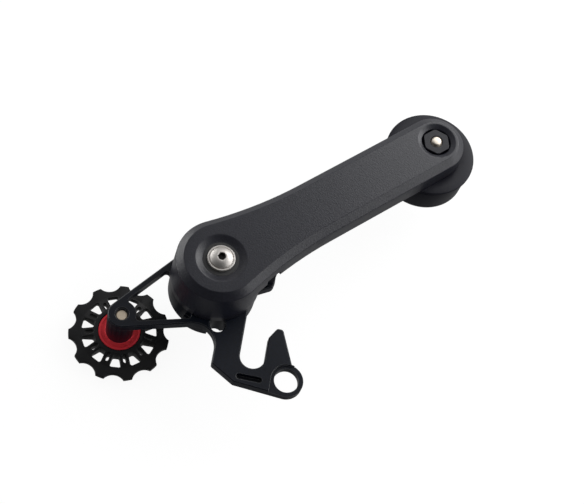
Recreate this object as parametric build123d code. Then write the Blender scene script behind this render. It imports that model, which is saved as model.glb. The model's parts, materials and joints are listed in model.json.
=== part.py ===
from build123d import *
import os
from math import acos, atan2, cos, degrees, hypot, radians, sin, sqrt, tan

# Bicycle chain tensioner, in millimetres.
# The origin is on the fixing eye's axis, at the back face of the hanger plate.
# +Z is the pivot axis, towards the outer side. +Y runs along the axle slot, towards its mouth.

# Places of the axes, seen along Z
pivot_x = -36.4
pivot_y = 37.3
jockey_x = -70.8
jockey_y = 13.7
arm_length = 112.3
arm_angle = 43.1

# Clearances
running_clearance = 0.05
ball_clearance = 0.02
free_gap = 0.4
cover_gap = 0.15
stop_gap = 0.3

# Hanger plate
plate_thickness = 4.6
edge_chamfer = 0.4
hub_depth = 7.4
hub_floor = 2.8
spring_pocket_radius = 15.6
boss_radius = 8.0

# Claw and fixing eye
eye_bore = 10.2
eye_ring_radius = 7.0
spotface_radius = 6.6
spotface_depth = 1.3
slot_x = -15.35
slot_width = 10.5
slot_end_y = 7.0
claw_left_x = -31.3
claw_heel_y = 0.6
claw_toe_x = -21.3
claw_toe_y = -5.35
claw_corner_radius = 1.2
claw_fillet = 8.6
prong_height = 21.3
prong_tip_width = 2.5
prong_tip_x = -6.0
prong_tip_radius = 1.3
prong_shoulder_y = 16.6
prong_root_x = 1.76
prong_root_y = 5.2
pocket_length = 10.8
pocket_width = 2.5
pocket_depth = 3.0
pocket_y = -2.6
side_hole_diameter = 6.2
side_hole_chamfer = 0.5
side_hole_angle = -77.0
side_hole_distance = 20.3

# Triangular bracket of the jockey wheel, and the hub that its two struts run into
bracket_lower_radius = 19.0
hub_set_in = 0.4
upper_strut_set_in = 0.8
hub_radius = bracket_lower_radius - hub_set_in
hub_lobe_height = 1.5
hub_lobe_start = -120.0
hub_lobe_end = -87.0
bracket_upper_radius = hub_radius - upper_strut_set_in
bracket_eye_radius = 5.8
strut_width = 2.2
bracket_relief = 0.3
window_fillet = 1.4
bracket_hole_mouth = 5.9
bracket_mouth_depth = 1.2

# Stop lug beside the hub, and the finger on it, at angles from the arm's line at rest
lug_reach = 24.9
lug_start = -4.4
lug_slope = 30.0
lug_end = 9.0
lug_fillet = 2.8
finger_inner = 21.5
finger_outer = 24.3
finger_start = -36.5
finger_end = -31.5
notch_height = 3.2
notch_length = 7.4

# Arm
arm_height = 21.0
beam_depth = 11.2
drum_radius = 18.9
drum_wall = 2.4
drum_top_wall = 4.4
beam_half_width = 13.0
blend_radius = 190.0
side_draft = 2.0
top_chamfer_width = 3.0
top_chamfer_drop = 2.8
skirt_wall = 2.6
beam_top_wall = 3.4
rib_thickness = 1.8
rib_count = 4
rib_inset = 0.6
dish_radius = 10.5
dish_floor_radius = 8.0
dish_depth = 1.4
tip_dish_radius = 8.4
tip_bore_radius = 6.4
tip_dish_depth = 1.2
nut_seat_depth = 4.4
tip_boss_radius = 8.2

# Pivot axle, bushes and bolt
axle_radius = 5.0
axle_head_radius = 7.5
axle_head_thickness = 1.6
axle_key = 6.0
axle_key_depth = 3.0
bush_wall = 1.2
bush_flange_radius = 7.4
bush_flange = 0.9
bush_length = 6.0
thrust_washer_thickness = 0.8
pivot_bolt_diameter = 5.0
pivot_bolt_grip = 14.0
pivot_flange_radius = 5.7
pivot_flange_thickness = 1.2
pivot_head_radius = 4.9
pivot_head_height = 1.7
pivot_key = 3.0
pivot_key_depth = 1.5

# Torsion spring
spring_wire = 2.4
spring_wire_sides = 8
spring_mean_radius = 11.8
spring_pitch = 4.0
spring_end_gap = 0.6
spring_leg = 3.0

# Jockey wheel
tooth_count = 11
tip_radius = 21.1
root_radius = 18.65
valley_radius = 5.3
tooth_angle = 30.1
rim_thickness = 2.4
rim_inner_radius = 16.4
wheel_hub_radius = 10.1
wheel_hub_thickness = 6.6
wheel_drop = 21.3
window_inner_radius = 10.7
window_outer_radius = 15.7
window_inner_width = 2.6
window_outer_width = 5.0
window_corner = 0.8
spoke_slot_length = 3.4
spoke_slot_width = 1.4
spoke_slot_radius = 12.4

# Bearing covers, spacer and bolt of the jockey wheel
cover_radius = 8.8
cover_thickness = 1.05
cover_rim = 1.1
cover_rim_height = 0.25
cover_boss_radius = 3.8
spacer_radius = 5.75
jockey_bolt_diameter = 5.0
jockey_bolt_tip = 4.2
jockey_bolt_recess = 1.6
jockey_head_radius = 4.6
jockey_head_height = 2.4
jockey_key = 3.0

# Ball bearings
jockey_bearing_bore = 5.0
jockey_bearing_outside = 13.0
jockey_bearing_width = 4.0
roller_bearing_bore = 5.0
roller_bearing_outside = 16.0
roller_bearing_width = 5.0
bearing_ring_wall = 0.28
ball_share = 0.5
ball_count = 7
seal_thickness = 0.4
seal_inset = 0.1

# Roller under the arm's tip
roller_flange_radius = 19.95
roller_flange_thickness = 1.3
roller_groove_radius = 18.0
roller_groove_width = 1.4
roller_body_radius = 19.1
roller_height = 15.2
roller_edge = 0.6
roller_face_radius = 12.2
roller_back_radius = 16.6
roller_face_recess = 1.6
roller_seat_lip = 1.2
roller_back_depth = 2.4

# Roller bolt, nut, spacer and washer
roller_bolt_diameter = 5.0
roller_bolt_tip = 3.2
roller_bolt_proud = 0.9
roller_head_radius = 4.25
roller_head_height = 3.0
roller_key = 4.0
nut_across_flats = 10.8
nut_height = 3.6
nut_chamfer = 0.3
roller_spacer_radius = 4.2
roller_washer_radius = 4.6
roller_washer_thickness = 0.6

# Levels along Z
plate_front = plate_thickness
hub_back = -hub_depth
drum_bottom = plate_front + free_gap
arm_top = drum_bottom + arm_height
beam_bottom = arm_top - beam_depth
drum_shoulder = drum_radius - (beam_bottom - drum_bottom) * tan(radians(side_draft))
dish_floor = arm_top - dish_depth
bush_seat = dish_floor - bush_flange
cup_top = arm_top - drum_top_wall
wheel_level = plate_front - wheel_drop
roller_top = beam_bottom - free_gap
nut_seat = arm_top - nut_seat_depth
boss_face = plate_front + thrust_washer_thickness
axle_front = dish_floor + running_clearance

# Frames of the three axes
pivot_frame = Pos(pivot_x, pivot_y, 0)
arm_frame = pivot_frame * Rot(0, 0, arm_angle)
tip_frame = arm_frame * Pos(arm_length, 0, 0)
jockey_frame = Pos(jockey_x, jockey_y, wheel_level)


def polar(radius, angle):
    return Vector(radius * cos(radians(angle)), radius * sin(radians(angle)))


def turned(radius, bottom, top):
    return Pos(0, 0, bottom) * Cylinder(radius, top - bottom, align=(Align.CENTER, Align.CENTER, Align.MIN))


def flared(bottom_radius, top_radius, bottom, top):
    cone = Cone(bottom_radius, top_radius, top - bottom, align=(Align.CENTER, Align.CENTER, Align.MIN))
    return Pos(0, 0, bottom) * cone


def ring(outer, inner, bottom, top):
    return turned(outer, bottom, top) - turned(inner, bottom, top)


def slab(face, bottom, top):
    return extrude(Pos(0, 0, bottom) * face, top - bottom, dir=(0, 0, 1))


def wedge(radius, start, end):
    reach = 2 * radius
    fan = Polygon((0, 0), polar(reach, start), polar(reach, end), align=None)
    return Circle(radius) & fan


def revolved(profile):
    face = make_face(Plane.XZ * Polyline(*profile, close=True))
    return revolve(face, Axis.Z)


def hexagon(across_flats):
    return RegularPolygon(across_flats / 2, 6, major_radius=False)


def strut_angle(hub, side):
    line = degrees(atan2(jockey_y - pivot_y, jockey_x - pivot_x))
    reach = hypot(jockey_x - pivot_x, jockey_y - pivot_y)
    return line + side * degrees(acos((hub - bracket_eye_radius) / reach))


def bracket_hull(inset):
    pivot = Vector(pivot_x, pivot_y)
    jockey = Vector(jockey_x, jockey_y)
    lower = strut_angle(bracket_lower_radius, 1)
    upper = strut_angle(bracket_upper_radius, -1)
    corners = [
        pivot + polar(bracket_upper_radius - inset, upper),
        jockey + polar(bracket_eye_radius - inset, upper),
        jockey + polar(bracket_eye_radius - inset, lower),
        pivot + polar(bracket_lower_radius - inset, lower),
    ]
    return Polygon(*corners, align=None)


def bracket_face():
    hub = Pos(pivot_x, pivot_y) * Circle(hub_radius)
    eye = Pos(jockey_x, jockey_y) * Circle(bracket_eye_radius)
    window = bracket_hull(strut_width) - hub - eye
    window = fillet(window.vertices(), window_fillet)
    return bracket_hull(0) + hub + eye - window


def claw_face():
    slot_left = slot_x - slot_width / 2
    slot_right = slot_x + slot_width / 2
    toe_line = degrees(atan2(claw_toe_y, claw_toe_x)) % 360
    toe_spread = degrees(acos(eye_ring_radius / hypot(claw_toe_x, claw_toe_y)))
    ring_foot = polar(eye_ring_radius, toe_line + toe_spread)
    outline = Polygon(
        (claw_left_x, pivot_y),
        (claw_left_x, claw_heel_y),
        (claw_toe_x, claw_toe_y),
        ring_foot,
        (0, 0),
        (prong_root_x, prong_root_y),
        (prong_tip_x + prong_tip_width / 2, prong_height),
        (prong_tip_x - prong_tip_width / 2, prong_height),
        (slot_right, prong_shoulder_y),
        (slot_left, pivot_y),
        align=None,
    )
    tip = outline.vertices().filter_by(lambda v: abs(v.Y - prong_height) < prong_tip_radius)
    outline = fillet(tip, prong_tip_radius)
    lower = outline.vertices().sort_by_distance((claw_left_x, claw_heel_y, 0))[0]
    toe = outline.vertices().sort_by_distance((claw_toe_x, claw_toe_y, 0))[0]
    outline = fillet([lower, toe], claw_corner_radius)
    slot_length = pivot_y - slot_end_y
    slot = Pos(slot_x, slot_end_y + slot_length / 2) * Rectangle(slot_width, slot_length)
    slot_end = Pos(slot_x, slot_end_y) * Circle(slot_width / 2)
    return outline - slot - slot_end + Circle(eye_ring_radius)


def claw_fillet_face():
    lower = strut_angle(bracket_lower_radius, 1)
    strut = lower - 90
    touch = Vector(pivot_x, pivot_y) + polar(bracket_lower_radius, lower)
    corner = Vector(claw_left_x, touch.Y + (claw_left_x - touch.X) * tan(radians(strut)))
    along_strut = polar(1, strut)
    down_claw = Vector(0, -1)
    between = along_strut.get_angle(down_claw)
    reach = claw_fillet / tan(radians(between / 2))
    inward = (along_strut + down_claw).normalized()
    centre = corner + inward * (claw_fillet / sin(radians(between / 2)))
    patch = Polygon(corner - inward, corner + along_strut * reach, corner + down_claw * reach, align=None)
    return patch - Pos(centre.X, centre.Y) * Circle(claw_fillet)


def stop_lug_face():
    root = polar(hub_radius, lug_start)
    corner_y = root.Y + (lug_reach - root.X) * tan(radians(lug_slope))
    lug = Polygon((0, 0), root, (lug_reach, corner_y), (lug_reach, lug_end), (0, lug_end), align=None)
    outer = lug.vertices().sort_by(Axis.X)[-2:]
    return Pos(pivot_x, pivot_y) * fillet(outer, lug_fillet)


def spotface():
    reach = 2 * eye_ring_radius
    below = Pos(reach / 2 - spotface_radius, -reach / 2) * Rectangle(reach, reach)
    beside = Pos(reach / 2, spotface_radius / 2) * Rectangle(reach, spotface_radius)
    return slab(Circle(spotface_radius) + below + beside, plate_front - spotface_depth, plate_front + 1)


def hanger():
    plate = bracket_face() + claw_face() + claw_fillet_face() + stop_lug_face()
    side_hole = Vector(pivot_x, pivot_y) + polar(side_hole_distance, side_hole_angle)
    body = slab(plate, 0, plate_front)
    front = body.faces().filter_by(Axis.Z).sort_by(Axis.Z)[-1]
    rim = front.outer_wire().edges()
    arcs = rim.filter_by(GeomType.CIRCLE)
    on_hub = arcs.filter_by(lambda edge: abs(edge.radius - hub_radius) < edge_chamfer)
    body = chamfer(rim - on_hub, edge_chamfer)
    body -= spotface()
    beside_claw = bracket_face() + claw_fillet_face() + stop_lug_face() - claw_face()
    body -= slab(beside_claw, 0, bracket_relief)
    mouth_radius = side_hole_diameter / 2 + side_hole_chamfer
    mouth = flared(side_hole_diameter / 2, mouth_radius, plate_front - side_hole_chamfer, plate_front)
    finger = wedge(finger_outer, arm_angle + finger_start, arm_angle + finger_end) - Circle(finger_inner)
    finger_top = beam_bottom + notch_height - free_gap
    body += pivot_frame * slab(finger, plate_front - edge_chamfer, finger_top)
    hub = turned(hub_radius, hub_back, plate_front)
    hub -= ring(spring_pocket_radius, boss_radius, hub_back + hub_floor, plate_front)
    hub_edges = hub.edges().filter_by(GeomType.CIRCLE).group_by(Axis.Z)[0]
    hub = chamfer(hub_edges, edge_chamfer)
    lobe = wedge(hub_radius + hub_lobe_height, hub_lobe_start, hub_lobe_end)
    hub += slab(lobe, hub_back + edge_chamfer, bracket_relief)
    cup = ring(spring_pocket_radius, boss_radius, hub_back + hub_floor, plate_front)
    body = body + pivot_frame * hub - pivot_frame * cup
    mouth += turned(side_hole_diameter / 2, hub_back, plate_front)
    body -= Pos(side_hole.X, side_hole.Y, 0) * mouth
    body -= pivot_frame * turned(axle_radius, hub_back, plate_front)
    leg_hole = turned(spring_wire / 2 + running_clearance, hub_back, plate_front)
    body -= pivot_frame * Pos(spring_mean_radius, 0, 0) * leg_hole
    body -= turned(eye_bore / 2, 0, plate_front)
    slot = SlotOverall(pocket_length, pocket_width)
    body -= Pos(slot_x, pocket_y, 0) * slab(slot, plate_front - pocket_depth, plate_front)
    bolt_hole = turned(jockey_bolt_diameter / 2 + running_clearance, 0, plate_front)
    bolt_hole += turned(bracket_hole_mouth / 2, plate_front - bracket_mouth_depth, plate_front)
    return body - Pos(jockey_x, jockey_y, 0) * bolt_hole


def arm_outline(inset):
    drum = drum_shoulder - inset
    half = beam_half_width - inset
    blend = blend_radius + inset
    run = sqrt((drum + blend) ** 2 - (half + blend) ** 2)
    lean = degrees(atan2(half + blend, run))
    meet = polar(drum, lean)
    middle = Vector(run, half + blend) + polar(blend, (180 + lean + 270) / 2)
    drum_arc = ThreePointArc((meet.X, meet.Y), (-drum, 0), (meet.X, -meet.Y))
    lower_blend = ThreePointArc((meet.X, -meet.Y), (middle.X, -middle.Y), (run, -half))
    lower_side = Line((run, -half), (arm_length, -half))
    tip_arc = ThreePointArc((arm_length, -half), (arm_length + half, 0), (arm_length, half))
    upper_side = Line((arm_length, half), (run, half))
    upper_blend = ThreePointArc((run, half), (middle.X, middle.Y), (meet.X, meet.Y))
    return make_face([drum_arc, lower_blend, lower_side, tip_arc, upper_side, upper_blend])


def beam_ribs():
    pocket_top = arm_top - beam_top_wall
    bottom = beam_bottom + rib_inset
    height = pocket_top - bottom
    level = bottom + height / 2
    first = drum_radius
    last = arm_length - tip_boss_radius
    spine = Pos((first + last) / 2, 0, level) * Box(last - first, rib_thickness, height)
    gap = (last - first) / (rib_count + 1)
    ribs = [spine]
    for k in range(rib_count):
        place = Pos(first + gap * (k + 1), 0, level)
        ribs.append(place * Box(rib_thickness, 2 * beam_half_width, height))
    return ribs


def arm():
    body = extrude(Pos(0, 0, beam_bottom) * arm_outline(0), beam_depth, taper=side_draft)
    top = body.faces().sort_by(Axis.Z)[-1]
    body = chamfer(top.edges(), top_chamfer_width, top_chamfer_drop, reference=top)
    pocket = slab(arm_outline(skirt_wall), beam_bottom, arm_top - beam_top_wall)
    pocket -= turned(drum_radius, beam_bottom, arm_top)
    pocket -= Pos(arm_length, 0, 0) * turned(tip_boss_radius, beam_bottom, arm_top)
    pocket -= beam_ribs()
    body -= pocket
    body += flared(drum_radius, drum_shoulder, drum_bottom, beam_bottom)
    body -= turned(drum_radius - drum_wall, drum_bottom, cup_top)
    body += turned(boss_radius, boss_face, cup_top)
    body -= flared(dish_floor_radius, dish_radius, dish_floor, arm_top)
    body -= turned(axle_radius + bush_wall, boss_face, bush_seat)
    body -= turned(bush_flange_radius, bush_seat, dish_floor)
    leg_hole = turned(spring_wire / 2 + running_clearance, cup_top, cup_top + spring_leg)
    body -= Pos(-spring_mean_radius, 0, 0) * leg_hole
    tip_dish_floor = arm_top - tip_dish_depth
    tip_cuts = flared(tip_bore_radius, tip_dish_radius, tip_dish_floor, arm_top)
    tip_cuts += turned(tip_bore_radius, nut_seat, tip_dish_floor)
    tip_cuts += turned(roller_bolt_diameter / 2 + running_clearance, beam_bottom, nut_seat)
    body -= Pos(arm_length, 0, 0) * tip_cuts
    notch_end = polar(finger_outer, finger_end).X + stop_gap
    notch_side = polar(finger_inner, finger_end).Y + stop_gap
    notch = Box(notch_length, beam_half_width, notch_height, align=(Align.MAX, Align.MAX, Align.MIN))
    notch = Pos(notch_end, notch_side, beam_bottom) * notch
    body -= notch - turned(drum_radius, beam_bottom, arm_top)
    return arm_frame * body


def pivot_axle():
    body = turned(axle_radius, hub_back, axle_front)
    body += turned(axle_head_radius, hub_back - axle_head_thickness, hub_back)
    body -= turned(pivot_bolt_diameter / 2, axle_front - pivot_bolt_grip, axle_front)
    key_floor = hub_back - axle_head_thickness + axle_key_depth
    body -= slab(hexagon(axle_key), hub_back - axle_head_thickness, key_floor)
    return pivot_frame * body


def pivot_bolt():
    head_base = axle_front + pivot_flange_thickness
    crown = head_base + pivot_head_height
    shoulder = (pivot_head_radius * 0.62, crown)
    bulge = (pivot_head_radius * 0.93, head_base + pivot_head_height * 0.55)
    outline = [
        Line((0, axle_front - pivot_bolt_grip), (pivot_bolt_diameter / 2, axle_front - pivot_bolt_grip)),
        Line((pivot_bolt_diameter / 2, axle_front - pivot_bolt_grip), (pivot_bolt_diameter / 2, axle_front)),
        Line((pivot_bolt_diameter / 2, axle_front), (pivot_flange_radius, axle_front)),
        Line((pivot_flange_radius, axle_front), (pivot_flange_radius, head_base)),
        Line((pivot_flange_radius, head_base), (pivot_head_radius, head_base)),
        ThreePointArc((pivot_head_radius, head_base), bulge, shoulder),
        Line(shoulder, (0, crown)),
        Line((0, crown), (0, axle_front - pivot_bolt_grip)),
    ]
    body = revolve(make_face(Plane.XZ * Curve(outline)), Axis.Z)
    return pivot_frame * (body - slab(hexagon(pivot_key), crown - pivot_key_depth, crown))


def arm_bush(front):
    if front:
        body = turned(axle_radius + bush_wall, bush_seat - bush_length, bush_seat)
        body += turned(bush_flange_radius, bush_seat, dish_floor)
    else:
        body = turned(axle_radius + bush_wall, boss_face, boss_face + bush_length)
    body -= turned(axle_radius + running_clearance, boss_face, dish_floor)
    return arm_frame * body


def pivot_thrust_washer():
    top = boss_face - running_clearance
    return pivot_frame * ring(boss_radius, axle_radius + running_clearance, plate_front, top)


def torsion_spring():
    bottom = hub_back + hub_floor + spring_end_gap + spring_wire / 2
    top = cup_top - spring_end_gap - spring_wire / 2
    part_turn = (180 + arm_angle) / 360
    turns = round((top - bottom) / spring_pitch - part_turn) + part_turn
    helix = Helix(pitch=(top - bottom) / turns, height=top - bottom, radius=spring_mean_radius)
    section = Plane(helix @ 0, z_dir=helix % 0) * RegularPolygon(spring_wire / 2, spring_wire_sides)
    coil = Pos(0, 0, bottom) * sweep(section, helix)
    lower_end = Pos(spring_mean_radius, 0, 0)
    upper_end = Rot(0, 0, 360 * turns) * lower_end
    lower_leg = lower_end * turned(spring_wire / 2, bottom - spring_leg, bottom)
    upper_leg = upper_end * turned(spring_wire / 2, top, top + spring_leg)
    knuckle = Sphere(spring_wire / 2 + running_clearance)
    coil += lower_end * Pos(0, 0, bottom) * knuckle
    coil += upper_end * Pos(0, 0, top) * knuckle
    return pivot_frame * (coil + lower_leg + upper_leg)


def wheel_outline():
    valley_centre = root_radius + valley_radius
    outline = Circle(tip_radius)
    for k in range(tooth_count):
        angle = tooth_angle + 360 / tooth_count * (k + 0.5)
        outline -= Rot(0, 0, angle) * Pos(valley_centre, 0) * Circle(valley_radius)
    return outline


def wheel_windows():
    window = Polygon(
        (window_inner_radius, -window_inner_width / 2),
        (window_outer_radius, -window_outer_width / 2),
        (window_outer_radius, window_outer_width / 2),
        (window_inner_radius, window_inner_width / 2),
        align=None,
    )
    window = fillet(window.vertices(), window_corner)
    slot = Pos(spoke_slot_radius, 0) * SlotOverall(spoke_slot_length, spoke_slot_width)
    cuts = Sketch()
    for k in range(tooth_count):
        angle = tooth_angle + 360 / tooth_count * k
        cuts += Rot(0, 0, angle + 180 / tooth_count) * window
        cuts += Rot(0, 0, angle) * slot
    return cuts


def jockey_wheel():
    seat = jockey_bearing_outside / 2
    hub = wheel_hub_thickness / 2
    rim = rim_thickness / 2
    profile = [
        (seat, -hub),
        (wheel_hub_radius, -hub),
        (rim_inner_radius, -rim),
        (tip_radius + 1, -rim),
        (tip_radius + 1, rim),
        (rim_inner_radius, rim),
        (wheel_hub_radius, hub),
        (seat, hub),
    ]
    flat = wheel_outline() - wheel_windows()
    body = revolved(profile) & slab(flat, -hub, hub)
    recess = cover_radius + cover_gap
    bearing_face = jockey_bearing_width / 2
    body -= turned(recess, bearing_face, hub)
    body -= turned(recess, -hub, -bearing_face)
    return jockey_frame * body


def jockey_cover():
    face = jockey_bearing_width / 2
    inner = face + cover_gap
    outer = inner + cover_thickness
    bore = jockey_bolt_diameter / 2 + running_clearance
    profile = [
        (bore, face),
        (cover_boss_radius, face),
        (cover_boss_radius, inner),
        (cover_radius, inner),
        (cover_radius, outer - cover_rim_height),
        (cover_radius - cover_rim_height, outer),
        (cover_radius - cover_rim, outer),
        (cover_radius - cover_rim - cover_rim_height, outer - cover_rim_height),
        (spacer_radius + 2 * cover_rim_height, outer - cover_rim_height),
        (spacer_radius + cover_rim_height, outer),
        (bore, outer),
    ]
    return revolved(profile)


def jockey_spacer():
    bottom = wheel_level + jockey_bearing_width / 2 + cover_gap + cover_thickness
    hole = jockey_bolt_diameter / 2 + running_clearance
    return Pos(jockey_x, jockey_y, 0) * ring(spacer_radius, hole, bottom, bracket_relief)


def jockey_bolt():
    head_top = wheel_level - jockey_bearing_width / 2 - cover_gap - cover_thickness
    tip = plate_front - jockey_bolt_recess
    lead = (jockey_bolt_diameter - jockey_bolt_tip) / 2
    body = turned(jockey_bolt_diameter / 2, head_top, tip)
    body = chamfer(body.edges().sort_by(Axis.Z)[-1], lead)
    head = turned(jockey_head_radius, head_top - jockey_head_height, head_top)
    head = chamfer(head.edges().sort_by(Axis.Z)[0], jockey_head_height / 3)
    body += head
    body -= slab(hexagon(jockey_key), head_top - jockey_head_height, head_top - jockey_head_height / 3)
    return Pos(jockey_x, jockey_y, 0) * body


def bearing(bore, outside, width):
    wall = (outside - bore) / 2 * bearing_ring_wall
    inner_land = bore / 2 + wall
    outer_land = outside / 2 - wall
    pitch = (inner_land + outer_land) / 2
    ball = (outside - bore) / 2 * ball_share / 2
    race = Torus(pitch, ball + ball_clearance)
    inner = ring(inner_land, bore / 2, -width / 2, width / 2) - race
    outer = ring(outside / 2, outer_land, -width / 2, width / 2) - race
    balls = [Rot(0, 0, 360 / ball_count * k) * Pos(pitch, 0, 0) * Sphere(ball) for k in range(ball_count)]
    seal_top = width / 2 - seal_inset
    front = ring(outer_land, inner_land + running_clearance, seal_top - seal_thickness, seal_top)
    seals = [front, Rot(180, 0, 0) * front]
    return inner, outer, balls, seals


def roller_levels():
    seat_top = roller_top - roller_face_recess - roller_seat_lip
    seat_bottom = seat_top - roller_bearing_width
    return seat_top, seat_bottom


def roller():
    seat_top, seat_bottom = roller_levels()
    bottom = roller_top - roller_height
    groove_top = roller_top - roller_flange_thickness
    groove_bottom = groove_top - roller_groove_width
    seat = roller_bearing_outside / 2
    lip = seat - roller_seat_lip
    recess_floor = roller_top - roller_face_recess
    profile = [
        (lip, seat_top),
        (lip, recess_floor),
        (roller_face_radius - roller_face_recess, recess_floor),
        (roller_face_radius, roller_top),
        (roller_flange_radius - roller_edge / 3, roller_top),
        (roller_flange_radius, roller_top - roller_edge / 3),
        (roller_flange_radius, groove_top),
        (roller_groove_radius, groove_top),
        (roller_groove_radius, groove_bottom),
        (roller_body_radius, groove_bottom),
        (roller_body_radius, bottom + roller_edge),
        (roller_body_radius - roller_edge, bottom),
        (roller_back_radius, bottom),
        (roller_back_radius - roller_back_depth, bottom + roller_back_depth),
        (seat, bottom + roller_back_depth),
        (seat, seat_top),
    ]
    return tip_frame * revolved(profile)


def roller_spacer():
    seat_top, seat_bottom = roller_levels()
    hole = roller_bolt_diameter / 2 + running_clearance
    return tip_frame * ring(roller_spacer_radius, hole, seat_top, beam_bottom)


def roller_washer():
    seat_top, seat_bottom = roller_levels()
    hole = roller_bolt_diameter / 2 + running_clearance
    return tip_frame * ring(roller_washer_radius, hole, seat_bottom - roller_washer_thickness, seat_bottom)


def roller_bolt():
    seat_top, seat_bottom = roller_levels()
    head_top = seat_bottom - roller_washer_thickness
    tip = nut_seat + nut_height + roller_bolt_proud
    lead = (roller_bolt_diameter - roller_bolt_tip) / 2
    body = turned(roller_bolt_diameter / 2, head_top, tip)
    body = chamfer(body.edges().sort_by(Axis.Z)[-1], lead)
    head = turned(roller_head_radius, head_top - roller_head_height, head_top)
    head = chamfer(head.edges().sort_by(Axis.Z)[0], roller_head_height / 6)
    body += head
    body -= slab(hexagon(roller_key), head_top - roller_head_height, head_top - roller_head_height / 3)
    return tip_frame * body


def roller_nut():
    top = nut_seat + nut_height
    corner = nut_across_flats / sqrt(3)
    body = slab(hexagon(nut_across_flats), nut_seat, top)
    blank = turned(corner, nut_seat, top)
    blank = chamfer(blank.edges().filter_by(GeomType.CIRCLE).sort_by(Axis.Z)[-1], nut_chamfer)
    body = (body & blank) - turned(roller_bolt_diameter / 2 + running_clearance, nut_seat, top)
    return tip_frame * body


def roller_bearing_frame():
    seat_top, seat_bottom = roller_levels()
    return tip_frame * Pos(0, 0, (seat_top + seat_bottom) / 2)


def place(frame, shapes):
    return Compound(children=[frame * shape for shape in shapes])


cover = jockey_cover()
jockey_inner, jockey_outer, jockey_balls, jockey_seals = bearing(
    jockey_bearing_bore, jockey_bearing_outside, jockey_bearing_width)
roller_inner, roller_outer, roller_balls, roller_seals = bearing(
    roller_bearing_bore, roller_bearing_outside, roller_bearing_width)

parts = {
    "hanger": hanger(),
    "arm": arm(),
    "arm_bush_front": arm_bush(True),
    "arm_bush_rear": arm_bush(False),
    "pivot_axle": pivot_axle(),
    "pivot_bolt": pivot_bolt(),
    "pivot_thrust_washer": pivot_thrust_washer(),
    "torsion_spring": torsion_spring(),
    "jockey_wheel": jockey_wheel(),
    "jockey_cover_front": jockey_frame * cover,
    "jockey_cover_rear": jockey_frame * Rot(180, 0, 0) * cover,
    "jockey_spacer": jockey_spacer(),
    "jockey_bolt": jockey_bolt(),
    "jockey_bearing_inner": jockey_frame * jockey_inner,
    "jockey_bearing_outer": jockey_frame * jockey_outer,
    "jockey_bearing_balls": place(jockey_frame, jockey_balls),
    "jockey_bearing_seals": place(jockey_frame, jockey_seals),
    "roller": roller(),
    "roller_spacer": roller_spacer(),
    "roller_washer": roller_washer(),
    "roller_bolt": roller_bolt(),
    "roller_nut": roller_nut(),
    "roller_bearing_inner": roller_bearing_frame() * roller_inner,
    "roller_bearing_outer": roller_bearing_frame() * roller_outer,
    "roller_bearing_balls": place(roller_bearing_frame(), roller_balls),
    "roller_bearing_seals": place(roller_bearing_frame(), roller_seals),
}

os.makedirs("parts", exist_ok=True)
for name, solid in parts.items():
    export_step(solid, f"parts/{name}.step")
    print(name, round(solid.volume, 2))
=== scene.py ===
import json
from math import acos, atan2, cos, hypot, pi, radians, sin

import bmesh
import bpy
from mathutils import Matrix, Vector
from mathutils.geometry import delaunay_2d_cdt


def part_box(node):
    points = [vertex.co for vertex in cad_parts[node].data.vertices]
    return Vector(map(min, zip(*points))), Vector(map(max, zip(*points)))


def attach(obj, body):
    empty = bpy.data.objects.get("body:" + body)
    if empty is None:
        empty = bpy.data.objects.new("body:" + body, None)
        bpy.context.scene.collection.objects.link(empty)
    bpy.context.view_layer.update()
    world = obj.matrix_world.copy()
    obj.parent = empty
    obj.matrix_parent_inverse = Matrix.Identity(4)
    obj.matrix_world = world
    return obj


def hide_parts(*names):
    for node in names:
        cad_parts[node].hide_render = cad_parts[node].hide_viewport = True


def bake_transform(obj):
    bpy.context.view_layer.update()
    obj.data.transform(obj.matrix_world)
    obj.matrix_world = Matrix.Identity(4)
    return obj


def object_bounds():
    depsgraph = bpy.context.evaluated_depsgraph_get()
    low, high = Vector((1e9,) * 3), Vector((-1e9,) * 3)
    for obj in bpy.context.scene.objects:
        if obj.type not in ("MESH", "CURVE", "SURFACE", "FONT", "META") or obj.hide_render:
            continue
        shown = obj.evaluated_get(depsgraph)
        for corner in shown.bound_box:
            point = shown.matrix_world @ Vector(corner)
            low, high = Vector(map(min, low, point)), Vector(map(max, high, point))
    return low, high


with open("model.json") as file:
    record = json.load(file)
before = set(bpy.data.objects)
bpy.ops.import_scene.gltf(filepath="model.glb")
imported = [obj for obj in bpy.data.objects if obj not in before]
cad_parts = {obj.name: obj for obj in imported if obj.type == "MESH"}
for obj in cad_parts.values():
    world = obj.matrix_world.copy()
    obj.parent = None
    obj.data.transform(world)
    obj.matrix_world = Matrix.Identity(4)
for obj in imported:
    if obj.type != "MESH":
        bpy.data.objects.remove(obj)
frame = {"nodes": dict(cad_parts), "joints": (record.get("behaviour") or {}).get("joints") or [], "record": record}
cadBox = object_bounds()
mm = 0.001
weldReach = 1e-6  # corners nearer than this, in metres, become one
nodes = frame["nodes"]
record = frame["record"]
axisOf = {joint["name"]: Vector(joint["pos_m"]) for joint in frame["joints"]}
bodyOf = {node: body for body, members in record["behaviour"]["bodies"].items() for node in members}
slotOf = {part["node"]: part["material_slot"] for part in record["subparts"]}
print("frame loaded:", len(nodes), "nodes")


# Small tools that all the sections use

def addObject(name, data):
    thing = bpy.data.objects.new(name, data)
    bpy.context.scene.collection.objects.link(thing)
    return thing


def meshFrom(work, name):
    mesh = bpy.data.meshes.new(name)
    work.to_mesh(mesh)
    work.free()
    return mesh


def evaluatedMesh(holder):
    # what the holder's modifier makes, as a plain mesh
    graph = bpy.context.evaluated_depsgraph_get()
    mesh = bpy.data.meshes.new_from_object(holder.evaluated_get(graph), depsgraph=graph)
    bpy.data.objects.remove(holder)
    return mesh


def setSocket(tree, socket, value):
    # a value is an output to link, or a plain number or vector
    if hasattr(value, "is_linked"):
        tree.links.new(value, socket)
    else:
        socket.default_value = value


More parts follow.
